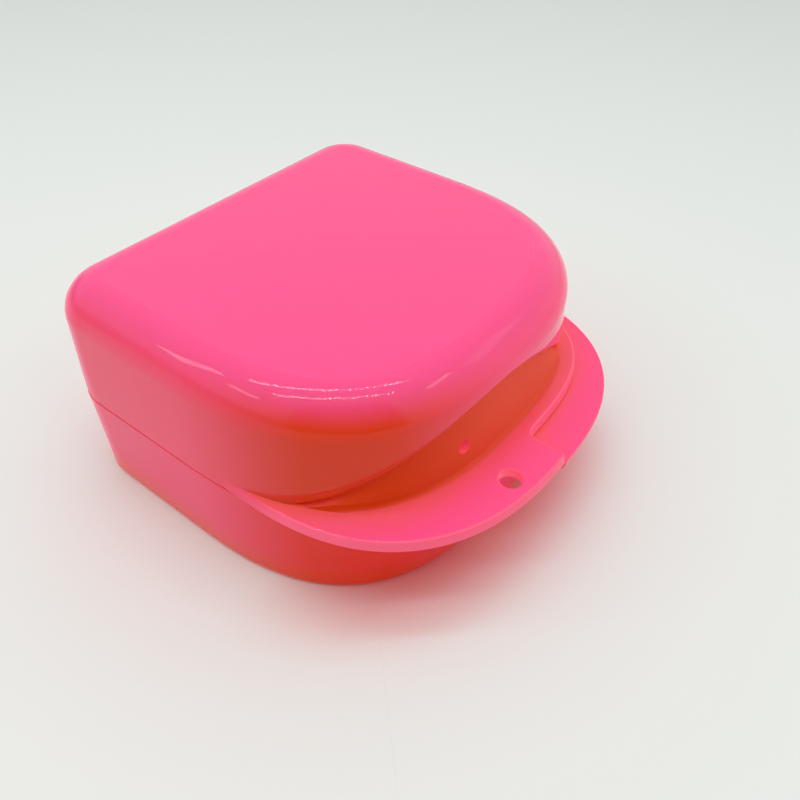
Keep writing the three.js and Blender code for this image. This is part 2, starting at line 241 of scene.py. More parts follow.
lidForm = {
    "draft": 1.07,
    "shoulderRadius": 6.95,
    "browDrop": 6.6,
    "browCentre": -5.8,
    "browHalfWidth": 32.4,
    "browRoundShare": 0.77,
    "browEdge": 1.4,
    "browProud": 0.5,
    "scoopDepth": 2.2,
    "fadeShare": 0.5,
    "coveSize": 1.2,
    "footLimitShares": (0.3, 0.6),
    "ventRadius": 1.25,
    "ventOffset": 13,
    "ventRise": 6.6,
    "ventReachShare": 0.25,
    "ventEdgeShare": 0.6,
    "reliefDepth": 1.8,
    "reliefHeight": 3.2,
    "reliefInnerShare": 0.5,
    "bandHeight": 1,
    "rimEasing": 0.2,
    "innerRoundShares": (0.12, 0.4),
    "outerRoundShares": (0.3, 0.35),
    "easingSteps": 3,
    "coveSteps": 8,
    "wallSteps": 12,
    "innerRoundSteps": 6,
    "outerRoundSteps": 8,
    "riseSteps": 8,
    "shoulderSteps": 24,
}
flangeForm = {
    "thickness": 2,
    "edge": 0.35,
    "slope": 0.45,
    "start": 9.35,
    "tabHalfWidth": 39.67,
    "tabReach": 38.34,
    "tabSquareShare": 0.786,
    "rimHalfWidth": 35,
    "rimReach": 30.85,
    "rimSquareShare": 0.655,
    "split": 0.5,
    "tabCornerRadius": 1.2,
    "rimCornerRadius": 1.6,
    "holeRadius": 2,
    "holeOffset": 10.4,
    "holeEdge": 4.8,
    "holeEasing": 0.3,
    "holeEasingSteps": 4,
    "steps": 150,
    "edgeSteps": 6,
}
lapForm = {
    "skirt": 0.9,
    "gap": 0.3,
    "collarHeight": 1.7,
    "collarStop": 4,
    "beadWidth": 24,
    "beadHeight": 0.6,
    "beadProud": 0.2,
    "beadCrestShare": 0.33,
}
hingeForm = {
    "barrelRadius": 2,
    "barrelLength": 44,
    "lidKnuckleLength": 26,
    "gussetLength": 4.2,
    "boreRadius": 1.15,
    "knuckleEasing": 0.25,
    "easingSegments": 3,
    "easingProfile": 0.5,
    "arcSteps": 40,
}
shoulderStart = bodySizes["height"] - lidForm["shoulderRadius"]
browRise = bodySizes["height"] - lidForm["browDrop"] - lidBottom


def tabShape():
    return frontShape(0, flangeForm["tabHalfWidth"], lidForm["fadeShare"])


def browShape(roundShare=lidForm["browRoundShare"]):
    return frontShape(lidForm["browCentre"], lidForm["browHalfWidth"], roundShare)


def lidWallInset(z, depth):
    radius = lidForm["shoulderRadius"] - depth
    rise = np.clip(z - shoulderStart, 0, radius)
    lean = lidForm["draft"] * (z - lidBottom) / (bodySizes["height"] - lidBottom)
    proud = smoothstep(z, lidBottom, shoulderStart) - smoothstep(z, shoulderStart, bodySizes["height"])
    swell = lidForm["browProud"] * tabShape() * proud
    return depth + lean + radius - np.sqrt(radius ** 2 - rise ** 2) - swell


def bent(start, corner, end, steps):
    # a rounded corner between two places on its legs
    shares = [i / steps for i in range(steps + 1)]
    return [
        tuple((1 - t) ** 2 * a + 2 * t * (1 - t) * b + t * t * c for a, b, c in zip(start, corner, end))
        for t in shares
    ]


def between(a, b, share):
    return tuple(p + (q - p) * share for p, q in zip(a, b))


def lidSkin(name, depth):
    brow = browShape()
    scoop = lidForm["scoopDepth"] * browShape(lidForm["fadeShare"])
    back = smoothstep(columns["ny"], 0, 1)
    band = np.maximum.reduce([
        np.full(len(brow), lidForm["bandHeight"]), browRise * brow, lidForm["reliefHeight"] * back,
    ])
    relief = lidForm["reliefDepth"] * back * (lidForm["reliefInnerShare"] if depth else 1)
    cove = 0 * back if depth else lidForm["coveSize"] * tabShape()
    footLow, footHigh = lidForm["footLimitShares"]
    edge = np.minimum(lidForm["browEdge"], band * footLow)
    shoulder = np.maximum(shoulderStart, lidBottom + band + edge)

    def row(rise, lean, out):
        z = lidBottom + rise
        inset = lidWallInset(z, depth) + scoop * lean - out + relief * np.maximum(0, 1 - rise / band)
        return ringAt(inset, z)

    rings = []
    if depth:
        low = row(0 * band, 0, 0)
        rings.append(low - [0, 0, overrun])
        rings.append(low)
    else:
        # the lid's lower edge is eased
        ease = lidForm["rimEasing"]
        for i in range(lidForm["easingSteps"] + 1):
            angle = math.pi / 2 * i / lidForm["easingSteps"]
            rings.append(row(ease * (1 - math.cos(angle)) + 0 * band, 0, -ease * (1 - math.sin(angle))))
    steps = lidForm["coveSteps"]
    for i in range(steps + 1):
        angle = math.pi / 2 * i / steps
        limit = band * (footLow + (footHigh - footLow) * i / steps)
        foot = np.minimum(flangeForm["thickness"] + lidForm["coveSize"] * (1 - math.cos(angle)), limit)
        rings.append(row(foot, 0, cove * (1 - math.sin(angle))))
    # the leaning wall, the underside of the brow and the brow's own edge, with both corners rounded
    wallFoot = (foot, 0)
    inner = (band - edge, 1)
    outer = (band, 0)
    belowInner, pastInner = lidForm["innerRoundShares"]
    beforeOuter, aboveOuter = lidForm["outerRoundShares"]
    above = (band + edge * aboveOuter, 0)
    wallTop = between(inner, wallFoot, belowInner)
    innerEnd = between(inner, outer, pastInner)
    outerStart = between(outer, inner, beforeOuter)
    steps = lidForm["wallSteps"]
    for i in range(1, steps + 1):
        rings.append(row(*between(wallFoot, wallTop, i / steps), 0))
    for rise, lean in bent(wallTop, inner, innerEnd, lidForm["innerRoundSteps"])[1:]:
        rings.append(row(rise, lean, 0))
    for rise, lean in bent(outerStart, outer, above, lidForm["outerRoundSteps"]):
        rings.append(row(rise, lean, 0))
    steps = lidForm["riseSteps"]
    for i in range(1, steps + 1):
        rise = above[0] + (shoulder - lidBottom - above[0]) * i / steps
        rings.append(row(rise, 0, 0))
    radius = lidForm["shoulderRadius"] - depth
    firstAngle = np.arcsin((shoulder - shoulderStart) / radius)
    steps = lidForm["shoulderSteps"]
    for i in range(1, steps + 1):
        angle = firstAngle + (math.pi / 2 - firstAngle) * i / steps
        z = shoulderStart + radius * np.sin(angle)
        rings.append(ringAt(lidWallInset(z, depth), z))
    return loft(name, rings)


def flangeOutline(inset):
    # a finger tab on the left and a narrow rim on the right, drawn in by an inset
    form = flangeForm
    points = []

    def sweep(halfWidth, reach, squareShare, keep):
        turns = np.linspace(math.pi, 2 * math.pi, form["steps"] + 1)
        x, y, angle = bow(halfWidth, reach, squareShare, turns)
        for px, py, a in zip(x, y, angle):
            if keep(px):
                points.append((px - inset * math.cos(a), py - form["start"] - inset * math.sin(a)))

    def corner(x, y, radius, first, last):
        for i in range(form["edgeSteps"] + 1):
            a = first + (last - first) * i / form["edgeSteps"]
            points.append((x + radius * math.cos(a), y + radius * math.sin(a)))

    tabCorner, rimCorner = form["tabCornerRadius"], form["rimCornerRadius"]
    tabEnd = form["split"] - tabCorner
    rimEnd = form["split"] + rimCorner
    tabFront = -form["start"] - form["tabReach"]
    rimFront = -form["start"] - form["rimReach"]
    sweep(form["tabHalfWidth"], form["tabReach"], form["tabSquareShare"], lambda x: x < tabEnd)
    corner(tabEnd, tabFront + tabCorner, tabCorner - inset, -math.pi / 2, 0)
    corner(rimEnd, rimFront - rimCorner, rimCorner + inset, math.pi, math.pi / 2)
    sweep(form["rimHalfWidth"], form["rimReach"], form["rimSquareShare"], lambda x: x > rimEnd)
    points.append((form["rimHalfWidth"] - inset, 0))
    points.append((inset - form["tabHalfWidth"], 0))
    return points


def flangePlate(name, side, seam, up):
    # side is -1 for a tab on the left and 1 for one on the right; the plate goes up or down from the seam
    form = flangeForm
    edge, thickness = form["edge"], form["thickness"]
    turns = [math.pi / 2 * i / form["edgeSteps"] for i in range(form["edgeSteps"] + 1)]
    rows = [(edge * (1 - math.cos(a)), edge * (1 - math.sin(a))) for a in turns]
    rows += [(thickness - edge * (1 - math.sin(a)), edge * (1 - math.cos(a))) for a in turns]
    rings = []
    for rise, easing in rows:
        ring = flangeOutline(easing + form["slope"] * rise / thickness)
        ring = np.array([(-side * x, y, seam + up * rise) for x, y in ring])
        rings.append(ring[::-1] if side > 0 else ring)
    return loft(name, rings if up > 0 else rings[::-1])


def easedHole(name, x, y, low, high):
    # straight in the middle, opened out by a quarter round at both ends
    radius, easing = flangeForm["holeRadius"], flangeForm["holeEasing"]
    steps = flangeForm["holeEasingSteps"]
    turns = [math.pi / 2 * i / steps for i in range(steps + 1)]
    profile = [(radius + easing, low - overrun)]
    for a in turns:
        profile.append((radius + easing * (1 - math.sin(a)), low + easing * (1 - math.cos(a))))
    for a in turns:
        profile.append((radius + easing * (1 - math.cos(a)), high - easing * (1 - math.sin(a))))
    profile.append((radius + easing, high + overrun))
    return turned(name, profile, Matrix.Translation((x, y, 0)))


def aheadOf(name, y):
    reach = bodySizes["width"]
    return boxShape(name, (-reach, -reach, -reach), (reach, y, reach))


def snapBead(name, clearance):
    flank = lapForm["beadHeight"] / 2 + clearance
    flat = flank * lapForm["beadCrestShare"]
    face = lapForm["skirt"] + lapForm["gap"]
    root = (face + bodySizes["wall"]) / 2
    crest = face - lapForm["beadProud"] - clearance
    middle = lidBottom + lapForm["collarHeight"] / 2 - bodySizes["seamGap"]
    rows = [(-flank, root), (-flank, face), (-flat, crest), (flat, crest), (flank, face), (flank, root)]
    bead = loft(name, [ringAt(inset, middle + rise) for rise, inset in rows])
    half = lapForm["beadWidth"] / 2 + clearance
    limit = boxShape("bead_limit", (-half, -bodySizes["depth"], 0), (half, 0, bodySizes["height"]))
    return shaped(bead, [("INTERSECT", limit)])


def rod(name, radius, start, end):
    return turned(name, [(radius, start), (radius, end)], alongX(hingeY, hingeZ))


def knuckle(name, near, far, start, end):
    # a barrel and its gusset, drawn across the hinge: near is at the seam, far along the wall
    radius = hingeForm["barrelRadius"]
    side = 1 if near[1] >= far[1] else -1

    def tangent(point, way):
        return math.atan2(point[1], point[0]) + way * math.acos(radius / math.hypot(*point))

    first, last = tangent(far, side), tangent(near, -side)
    if side > 0 and last < first:
        last += 2 * math.pi
    if side < 0 and last > first:
        last -= 2 * math.pi
    steps = hingeForm["arcSteps"]
    arc = [first + (last - first) * i / steps for i in range(steps + 1)]
    shape = [near, far] + [(radius * math.cos(a), radius * math.sin(a)) for a in arc]
    rings = [np.array([(x, hingeY + y, hingeZ + z) for y, z in shape]) for x in (start, end)]
    piece = loft(name, rings)
    work = bmesh.new()
    work.from_mesh(piece.data)
    bmesh.ops.recalc_face_normals(work, faces=work.faces)
    ends = [e for e in work.edges if any(len(f.verts) > 4 for f in e.link_faces)]
    bmesh.ops.bevel(
        work, geom=ends, offset=hingeForm["knuckleEasing"], segments=hingeForm["easingSegments"],
        profile=hingeForm["easingProfile"], affect="EDGES",
    )
    work.to_mesh(piece.data)
    work.free()
    return piece


def besideOutline(places):
    # the nearest column of the outline for each place, and how far inside the outline the place lies
    apart = (places[:, :1] - columns["x"]) ** 2 + (places[:, 1:2] - columns["y"]) ** 2
    near = apart.argmin(1)
    nx, ny = columns["nx"][near], columns["ny"][near]
    return near, (columns["x"][near] - places[:, 0]) * nx + (columns["y"][near] - places[:, 1]) * ny


def vectorsOf(items, key):
    values = np.empty(len(items) * 3)
    items.foreach_get(key, values)
    return values.reshape(-1, 3)


markForm = {
    "ventMargin": 0.05,
    "ventMostForward": 0.3,
    "tabFade": (-0.02, 0.06),
    "browFade": (-0.4, 0.25),
    "scoopLeastOutward": -0.2,
    "scoopMargin": 0.1,
    "flangeMostUpward": 0.97,
    "flangeMargin": 0.01,
    "splitReachShare": 2,
    "splitMostSideward": 0.3,
    "edgeFadeReach": 2.5,
}


def inVent(places):
    aside = places[:, 0] + lidForm["ventOffset"]
    fromAxis = np.hypot(aside, places[:, 2] - lidBottom - lidForm["ventRise"])
    return (places[:, 1] < 0) & (fromAxis < lidForm["ventRadius"] + markForm["ventMargin"])


def markScoop(piece):
    # a mask for the painted shade colour and the roughness of the scoop: 1 on the wall that leans back
    # under the brow, and in the vent
    places, normals = (vectorsOf(piece.data.vertices, key) for key in ("co", "normal"))
    near, inset = besideOutline(places)
    outward = normals[:, 0] * columns["nx"][near] + normals[:, 1] * columns["ny"][near]
    tabTop = lidBottom + flangeForm["thickness"]
    aboveTab = smoothstep(places[:, 2] - tabTop, *markForm["tabFade"])
    browLine = lidBottom + browRise * browShape()[near]
    underBrow = 1 - smoothstep(places[:, 2] - browLine, *markForm["browFade"])
    outermost = -lidForm["coveSize"] - flangeForm["edge"]
    innermost = lidForm["scoopDepth"] + lidForm["draft"] + markForm["scoopMargin"]
    shown = (outward > markForm["scoopLeastOutward"]) & (inset > outermost) & (inset < innermost)
    values = np.where(shown, aboveTab * underBrow, 0)
    mask = piece.data.attributes.new("scoop", "FLOAT", "POINT")
    mask.data.foreach_set("value", np.where(inVent(places), 1, values))


def markEdges(piece, flangeLow, ventShare=0):
    # a mask for the painted glow and lighter painted colour: 1 on the edges of the flange and in the
    # holes through the plastic
    places, normals = (vectorsOf(piece.data.polygons, key) for key in ("center", "normal"))
    sideward, forward, upward = np.abs(normals).T
    shown = upward < markForm["flangeMostUpward"]
    ahead = places[:, 1] < 0
    rise = places[:, 2] - flangeLow
    margin = markForm["flangeMargin"]
    level = (rise > margin) & (rise < flangeForm["thickness"] - margin)
    atSplit = np.abs(places[:, 0]) < markForm["splitReachShare"] * flangeForm["rimCornerRadius"]
    ending = atSplit & (sideward > markForm["splitMostSideward"])
    mask = np.zeros(len(places))
    chosen = np.flatnonzero(shown & ahead & level & ~ending)
    _, inset = besideOutline(places[chosen])
    mask[chosen] = smoothstep(-inset, 0, markForm["edgeFadeReach"])
    mask[inVent(places) & (forward < markForm["ventMostForward"])] = ventShare
    edge = piece.data.attributes.new("edge", "FLOAT", "FACE")
    edge.data.foreach_set("value", mask)


wallMiddle = backY - bodySizes["wall"] / 2 - hingeY
knuckleEnd = hingeForm["lidKnuckleLength"] / 2
barrelEnd = hingeForm["barrelLength"] / 2
pocketRadius = hingeForm["barrelRadius"] + lapForm["gap"]
collarEnd = backY - bodySizes["backCornerRadius"] - lapForm["collarStop"]


def makeLid():
    form = flangeForm
    holeY = form["holeEdge"] - form["start"] - form["tabReach"]
    tabTop = lidBottom + form["thickness"]
    skirtCut = shaped(
        prism("skirt_cut", lapForm["skirt"], lidBottom - overrun, lidBottom + lapForm["collarHeight"]),
        [("INTERSECT", aheadOf("skirt_limit", collarEnd + lapForm["gap"]))],
    )
    ventReach = bodySizes["frontSwell"] * lidForm["ventReachShare"]
    ventPlace = Matrix.Translation((-lidForm["ventOffset"], -backY, lidBottom + lidForm["ventRise"]))
    ventPlace = ventPlace @ Matrix.Rotation(math.pi / 2, 4, "X")
    ventProfile = [(lidForm["ventRadius"], -ventReach), (lidForm["ventRadius"], ventReach)]
    boreEnd = knuckleEnd + overrun
    near = (backY - lidForm["reliefDepth"] - hingeY, lidBottom + lidForm["bandHeight"] / 2 - hingeZ)
    far = (wallMiddle, lidBottom + lidForm["reliefHeight"] + hingeForm["gussetLength"] - hingeZ)
    lid = shaped(lidSkin("lid_shell", 0), [
        ("UNION", flangePlate("lid_flange", -1, lidBottom, 1)),
        ("DIFFERENCE", easedHole("lanyard_hole", -form["holeOffset"], holeY, lidBottom, tabTop)),
        ("DIFFERENCE", lidSkin("lid_inside", bodySizes["wall"])),
        ("DIFFERENCE", skirtCut),
        ("DIFFERENCE", snapBead("lid_groove", lapForm["gap"] / 2)),
        ("DIFFERENCE", turned("vent", ventProfile, ventPlace)),
        ("DIFFERENCE", rod("pocket_right", pocketRadius, knuckleEnd, barrelEnd + lapForm["gap"])),
        ("DIFFERENCE", rod("pocket_left", pocketRadius, -barrelEnd - lapForm["gap"], -knuckleEnd)),
        ("UNION", knuckle("lid_knuckle", near, far, -knuckleEnd, knuckleEnd)),
        ("DIFFERENCE", rod("lid_bore", hingeForm["boreRadius"], -boreEnd, boreEnd)),
    ])
    markScoop(lid)
    markEdges(lid, lidBottom, lidForm["ventEdgeShare"])
    return finished(lid)


lidShell = makeLid()
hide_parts("lid")
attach(lidShell, "lid")
print("lid:", len(lidShell.data.polygons), "faces")

# Tray

trayForm = {
    "draft": 0.4,
    "edgeRadius": 1.5,
    "innerRadius": 3,
    "topEasing": 0.2,
    "collarEasingShare": 0.3,
    "edgeSteps": 10,
    "wallSteps": 6,
    "easingSteps": 3,
}


def traySkin(name, depth, edgeRadius, top, easing):
    rings = []

    def leanAt(z):
        return trayForm["draft"] * (1 - z / baseTop)

    for i in range(trayForm["edgeSteps"] + 1):
        a = math.pi / 2 * i / trayForm["edgeSteps"]
        z = depth + edgeRadius * (1 - math.cos(a))
        rings.append(ringAt(depth + leanAt(z) + edgeRadius * (1 - math.sin(a)), z))
    steps = trayForm["wallSteps"]
    for i in range(1, steps + 1):
        z = depth + edgeRadius + (top - easing - depth - edgeRadius) * i / steps
        rings.append(ringAt(depth + leanAt(min(z, baseTop)), z))
    if easing:
        steps = trayForm["easingSteps"]
        for i in range(1, steps + 1):
            a = math.pi / 2 * i / steps
            z = top - easing * (1 - math.sin(a))
            rings.append(ringAt(depth + leanAt(z) + easing * (1 - math.cos(a)), z))
    return loft(name, rings)


def makeTray():
    collarTop = baseTop + lapForm["collarHeight"]
    collarInset = lapForm["skirt"] + lapForm["gap"]
    ease = trayForm["topEasing"]
    firstEase = ease * trayForm["collarEasingShare"]
    collar = loft("collar", [
        ringAt(collarInset, baseTop - bodySizes["wall"]),
        ringAt(collarInset, collarTop - ease),
        ringAt(collarInset + firstEase, collarTop - firstEase),
        ringAt(collarInset + ease, collarTop),
    ])
    collar = shaped(collar, [("INTERSECT", aheadOf("collar_limit", collarEnd))])
    bead = shaped(snapBead("bead", 0), [
        ("DIFFERENCE", prism("bead_inside", bodySizes["wall"], 0, bodySizes["height"])),
    ])
    near = (wallMiddle, baseTop - lapForm["gap"] - hingeZ)
    far = (wallMiddle, baseTop - hingeForm["gussetLength"] - hingeZ)
    start = knuckleEnd + lapForm["gap"]
    boreEnd = barrelEnd + overrun
    inside = traySkin("tray_inside", bodySizes["wall"], trayForm["innerRadius"], collarTop + overrun, 0)
    tray = shaped(traySkin("tray", 0, trayForm["edgeRadius"], baseTop, ease), [
        ("UNION", collar),
        ("UNION", flangePlate("tray_flange", 1, baseTop, -1)),
        ("DIFFERENCE", inside),
        ("UNION", bead),
        ("DIFFERENCE", rod("tray_pocket", pocketRadius, -start, start)),
        ("UNION", knuckle("knuckle_right", near, far, start, barrelEnd)),
        ("UNION", knuckle("knuckle_left", near, far, -barrelEnd, -start)),
        ("DIFFERENCE", rod("tray_bore", hingeForm["boreRadius"], -boreEnd, boreEnd)),
    ])
    markEdges(tray, baseTop - flangeForm["thickness"])
    return finished(tray)


trayShell = makeTray()
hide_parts("base")
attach(trayShell, "base")
print("tray:", len(trayShell.data.polygons), "faces")

# Hinge pin

pinForm = {
    "rounding": 0.25,
    "steps": 6,
}


def makePin():
    radius = (pinHigh.z - pinLow.z) / 2 / mm
    end = (pinHigh.x - pinLow.x) / 2 / mm
    rounding = pinForm["rounding"]
    profile = []
    for i in range(pinForm["steps"] + 1):
        a = math.pi / 2 * i / pinForm["steps"]
        profile.append((radius - rounding * (1 - math.sin(a)), -end + rounding * (1 - math.cos(a))))
    profile += [(r, -h) for r, h in reversed(profile)]
    return finished(turned("hinge_rod", profile, alongX(hingeY, hingeZ)))


hingeRod = makePin()
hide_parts("hinge_pin")
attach(hingeRod, "base")
print("pin:", len(hingeRod.data.polygons), "faces")

# Plastic

# painted light and shade: the flat colour is the lit plastic, the side and front colours are shaded
# copies of it, and the hollow, scoop and edge colours and the glows are painted light and shade too
plasticLook = {
    "litFlatColour": (0.965, 0.083, 0.266, 1),
    "shadedSideColour": (1.0, 0.08, 0.2, 1),
    "shadedFrontColour": (0.89, 0.057, 0.016, 1),
    "hollowShadeTint": (0.87, 2.0, 0.08, 1),
    "scoopShadeColour": (0.8, 0.06, 0.001, 1),
    "scoopSideShadeColour": (0.93, 0.098, 0.045, 1),
    "scoopFootShadeColour": (0.82, 0.07, 0.04, 1),
    "litEdgeColour": (0.985, 0.11, 0.2, 1),
    "edgePaintedGlow": (0.2, 0.03, 0.06, 1),
    "wallPaintedGlow": (0.11, 0.015, 0.03, 1),
    "frontPaintedGlow": (0, 0, 0, 1),
    "shineThrough": (0.7, 0.08, 0.08, 1),
    "shadeAzimuth": -138,
    "hollowReach": 0.012,
    "polish": 0.035,
    "hollowRoughness": 0.3,
    "scoopRoughness": 0.6,
    "flatRoughness": 0.28,
    "subsurface": 0.35,
    "scatterLength": 0.0008,
    "scatterColours": (1.0, 0.25, 0.3),
    "ior": 1.31,
    "paintedGlowStrength": 1,
    "rippleSize": 0.005,
    "rippleHeight": 0.000012,
    "markSize": 0.0022,
    "markRoughness": 0.02,
}


def groupSockets(group, inputs, outputs):
    for way, sockets in (("INPUT", inputs), ("OUTPUT", outputs)):
        for name, kind in sockets:
            group.interface.new_socket(name, in_out=way, socket_type="NodeSocket" + kind)


def ramp(tree, value, low, high, interpolation="LINEAR"):
    node = tree.nodes.new("ShaderNodeMapRange")
    node.interpolation_type = interpolation
    node.inputs["From Min"].default_value = low
    node.inputs["From Max"].default_value = high
    tree.links.new(value, node.inputs["Value"])
    return node.outputs[0]


def blend(tree, share, first, second, way="MIX"):
    node = tree.nodes.new("ShaderNodeMix")
    node.data_type = "RGBA"
    node.blend_type = way
    sockets = (node.inputs["Factor"], node.inputs[6], node.inputs[7])
    for socket, value in zip(sockets, (share, first, second)):
        if isinstance(value, (int, float, tuple)):
            socket.default_value = value
        else:
            tree.links.new(value, socket)
    return node.outputs[2]


def maths(tree, operation, first, second=0.0):
    node = tree.nodes.new("ShaderNodeMath")
    node.operation = operation
    for socket, value in zip(node.inputs, (first, second)):
        if isinstance(value, (int, float)):
            socket.default_value = value
        else:
            tree.links.new(value, socket)
    return node.outputs[0]


def vectorMaths(tree, operation, first, second=None):
    node = tree.nodes.new("ShaderNodeVectorMath")
    node.operation = operation
    tree.links.new(first, node.inputs[0])
    if isinstance(second, tuple):
        node.inputs[1].default_value = second
    elif second is not None:
        tree.links.new(second, node.inputs[1])
    return node.outputs["Value" if operation == "DOT_PRODUCT" else "Vector"]


# where the painted light and shade change, by how far a surface faces up, down or ahead, and how shut in
# it lies
colourRanges = {
    "upward": (0.42, 0.97),
    "downward": (0.85, 0.97),
    "ahead": (0.66, 0.97),
    "flat": (0.97, 0.998),
    "hollow": (0.25, 0.95),
    "hidden": (0.2, 0.36),
    "hollowSamples": 8,
}


def paintedLightAndShade():
    # painted light and shade: the lit pink where the plastic lies flat, shaded redder on its walls and
    # orange-red on the front, painted shade in the hollows and the scoop, painted light on the flange
    # edges
    group = bpy.data.node_groups.new("painted light and shade colour", "ShaderNodeTree")
    groupSockets(
        group,
        [("Normal", "Vector"), ("Front Way", "Vector"),
         ("Top", "Color"), ("Side", "Color"), ("Front", "Color"),
         ("Hollow Shade Tint", "Color"), ("Hollow Reach", "Float"), ("Edge", "Float"), ("Lit Edge Colour", "Color"),
         ("Scoop", "Float"), ("Scoop Front", "Color"), ("Scoop Side", "Color"), ("Scoop Foot", "Color")],
        [("Colour", "Color"), ("Hollowness", "Float"), ("Flatness", "Float"),
         ("Side Wall", "Float"), ("Front Wall", "Float")],
    )
    nodes, links = group.nodes, group.links
    given = nodes.new("NodeGroupInput")
    result = nodes.new("NodeGroupOutput")
    parts = nodes.new("ShaderNodeSeparateXYZ")
    links.new(given.outputs["Normal"], parts.inputs[0])
    upward = ramp(group, parts.outputs["Z"], *colourRanges["upward"], "SMOOTHSTEP")
    down = maths(group, "MULTIPLY", parts.outputs["Z"], -1.0)
    downward = ramp(group, down, *colourRanges["downward"], "SMOOTHSTEP")
    level = maths(group, "MAXIMUM", upward, downward)
    flat = ramp(group, maths(group, "ABSOLUTE", parts.outputs["Z"]), *colourRanges["flat"], "SMOOTHSTEP")
    links.new(flat, result.inputs["Flatness"])
    facing = vectorMaths(group, "MULTIPLY", given.outputs["Normal"], (1, 1, 0))
    facing = vectorMaths(group, "NORMALIZE", facing)
    ahead = vectorMaths(group, "DOT_PRODUCT", facing, given.outputs["Front Way"])
    ahead = ramp(group, ahead, *colourRanges["ahead"])
    # painted shade: walls get shaded copies of the lit colour, redder towards the shade azimuth, and the
    # lit colour where they face up or down
    wall = blend(group, ahead, given.outputs["Side"], given.outputs["Front"])
    skin = blend(group, level, wall, given.outputs["Top"])
    # painted shade: ambient occlusion darkens and reddens the colour in the hollows
    hollow = nodes.new("ShaderNodeAmbientOcclusion")
    hollow.samples = colourRanges["hollowSamples"]
    links.new(given.outputs["Hollow Reach"], hollow.inputs["Distance"])
    openness = ramp(group, hollow.outputs["AO"], *colourRanges["hollow"], "SMOOTHSTEP")
    shut = maths(group, "SUBTRACT", 1.0, openness)
    hidden = ramp(group, hollow.outputs["AO"], *colourRanges["hidden"])
    hollowness = maths(group, "MULTIPLY", shut, hidden)
    tinted = blend(group, hollowness, skin, given.outputs["Hollow Shade Tint"], "MULTIPLY")
    # painted shade: the scoop under the brow and the vent get their own shaded colours, by how they face
    scoop = blend(group, ahead, given.outputs["Scoop Side"], given.outputs["Scoop Front"])
    scoop = blend(group, upward, scoop, given.outputs["Scoop Foot"])
    tinted = blend(group, given.outputs["Scoop"], tinted, scoop)
    # painted light: a lighter colour on the flange edges and in the holes
    tinted = blend(group, given.outputs["Edge"], tinted, given.outputs["Lit Edge Colour"])
    links.new(tinted, result.inputs["Colour"])
    links.new(hollowness, result.inputs["Hollowness"])
    upright = maths(group, "SUBTRACT", 1.0, level)
    frontWall = maths(group, "MULTIPLY", upright, ahead)
    links.new(frontWall, result.inputs["Front Wall"])
    links.new(maths(group, "SUBTRACT", upright, frontWall), result.inputs["Side Wall"])
    return group


surfaceForm = {
    "rippleDetail": 1,
    "markDetail": 4,
    "markRange": (0.55, 0.8),
}


def mouldedSurface():
    # the faint ripple of a moulding, and the marks of handling that dull its polish in spots
    group = bpy.data.node_groups.new("moulded surface", "ShaderNodeTree")
    groupSockets(
        group,
        [("Place", "Vector"), ("Ripple Scale", "Float"), ("Mark Scale", "Float")],
        [("Height", "Float"), ("Marks", "Float")],
    )
    nodes, links = group.nodes, group.links
    given = nodes.new("NodeGroupInput")
    result = nodes.new("NodeGroupOutput")
    ripple = nodes.new("ShaderNodeTexNoise")
    ripple.inputs["Detail"].default_value = surfaceForm["rippleDetail"]
    marks = nodes.new("ShaderNodeTexNoise")
    marks.inputs["Detail"].default_value = surfaceForm["markDetail"]
    for node, scale in ((ripple, "Ripple Scale"), (marks, "Mark Scale")):
        links.new(given.outputs["Place"], node.inputs["Vector"])
        links.new(given.outputs[scale], node.inputs["Scale"])
    links.new(ripple.outputs["Fac"], result.inputs["Height"])
    spots = ramp(group, marks.outputs["Fac"], *surfaceForm["markRange"], "SMOOTHSTEP")
    links.new(spots, result.inputs["Marks"])
    return group


colourGroup = paintedLightAndShade()
surfaceGroup = mouldedSurface()


